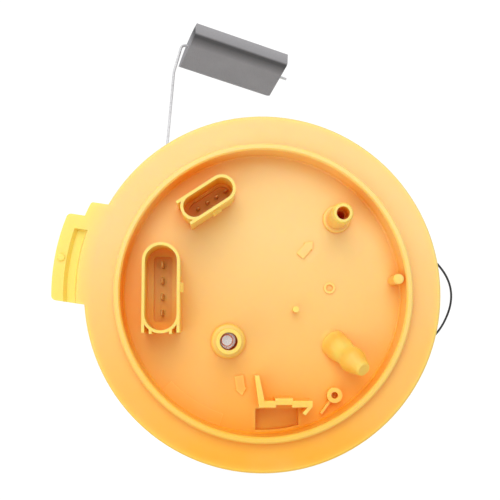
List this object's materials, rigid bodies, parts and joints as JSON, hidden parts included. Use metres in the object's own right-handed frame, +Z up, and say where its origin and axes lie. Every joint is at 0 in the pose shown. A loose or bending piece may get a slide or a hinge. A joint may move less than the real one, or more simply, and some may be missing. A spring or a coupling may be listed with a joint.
{
  "type": "fuel pump module",
  "caption": "In-tank fuel pump module: moulded cover with keyed sockets and spigots over a sprung reservoir, with pump, ring filter and float level sender.",
  "frame": {"origin": "on the axis of the tank opening, in the plane of the cover's sealing face", "axes": "+Z up out of the tank along the cover's axis; the side tab is at -X, the float arm reaches out to +Y"},
  "size_m": [0.1602, 0.215, 0.2056],
  "materials": {
    "flange_plastic": "natural translucent moulding, satin",
    "tin_brass": "tinned",
    "plug_black": "fine grain",
    "bright_metal": "turned",
    "steel": "drawn",
    "spring_steel": "drawn wire",
    "cup_plastic": "natural moulding",
    "lid_plastic": "fine grain",
    "rubber_black": "matte",
    "mesh_cloth": "woven",
    "can_steel": "zinc plated",
    "end_plastic": "glass filled",
    "impeller_plastic": "phenolic",
    "lamination": "stacked sheet",
    "copper": "enamelled wire",
    "magnet": "ferrite",
    "carbon": "pressed carbon",
    "hose_black": "convoluted",
    "lead_red": "insulation",
    "lead_black": "insulation",
    "filter_paper": "pleated",
    "ceramic": "ceramic with thick film track",
    "float_foam": "closed cell, moulded skin"
  },
  "bodies": {
    "flange": {"flange_cover": "flange_plastic", "power_terminals": "tin_brass", "level_terminals": "tin_brass", "power_plug": "plug_black", "level_plug": "plug_black", "guide_rod_rear": "steel", "guide_rod_front": "steel", "rod_clips": "spring_steel", "hose_clamps_upper": "steel", "earth_tag_upper": "plug_black", "rod_spring_rear": "spring_steel", "rod_spring_front": "spring_steel", "port_spring": "spring_steel", "feed_hose": "hose_black", "return_hose": "hose_black", "power_leads": "lead_red", "level_leads": "lead_black", "earth_lead": "lead_black"},
    "reservoir": {"reservoir_cup": "cup_plastic", "reservoir_lid": "lid_plastic", "inlet_strainer": "mesh_cloth", "jet_pump": "plug_black", "pump_casing": "can_steel", "pump_inlet_plate": "end_plastic", "pump_plate": "end_plastic", "pump_magnets": "magnet", "brushes": "carbon", "pump_end_cap": "end_plastic", "pump_plug": "plug_black", "pump_sleeve": "rubber_black", "filter_housing": "end_plastic", "filter_pleats": "filter_paper", "filter_cap": "end_plastic", "pressure_regulator": "can_steel", "regulator_clip": "spring_steel", "hose_clamps_lower": "steel", "earth_tag_lower": "plug_black", "sender_tray": "lid_plastic", "resistor_card": "ceramic"},
    "rotor": {"impeller": "impeller_plastic", "rotor_shaft": "steel", "armature_core": "lamination", "armature_windings": "copper", "commutator": "copper"},
    "arm": {"arm_holder": "plug_black", "wipers": "tin_brass", "arm_wire": "steel"},
    "float": {"float_block": "float_foam"},
    "plunger": {"port_plunger": "bright_metal"},
    "foot_valve": {"foot_valve": "rubber_black"}
  },
  "joints": [
    {"name": "tank_slide", "type": "slide", "parent": "flange", "child": "reservoir", "axis": [0, 0, 1], "range_m": [0, 0.035], "stiffness_N_per_m": 200, "springref_m": -0.05, "deforming": ["rod_spring_rear", "rod_spring_front", "feed_hose", "return_hose", "power_leads", "level_leads", "earth_lead"]},
    {"name": "level_arm", "type": "hinge", "parent": "reservoir", "child": "arm", "pos_m": [-0.04, 0.012, -0.1], "axis": [1, 0, 0], "range_deg": [0, 58]},
    {"name": "float_swivel", "type": "hinge", "parent": "arm", "child": "float", "pos_m": [-0.00829, 0.13298, -0.1543], "axis": [0.9304, -0.2241, -0.2901], "continuous": true},
    {"name": "rotor_spin", "type": "hinge", "parent": "reservoir", "child": "rotor", "pos_m": [0.008, 0, -0.15], "axis": [0, 0, 1], "continuous": true},
    {"name": "plunger_push", "type": "slide", "parent": "flange", "child": "plunger", "axis": [0, 0, -1], "range_m": [0, 0.002], "stiffness_N_per_m": 400, "springref_m": -0.004, "deforming": ["port_spring"]},
    {"name": "foot_valve_lift", "type": "slide", "parent": "reservoir", "child": "foot_valve", "axis": [0, 0, 1], "range_m": [0, 0.0015]}
  ]
}
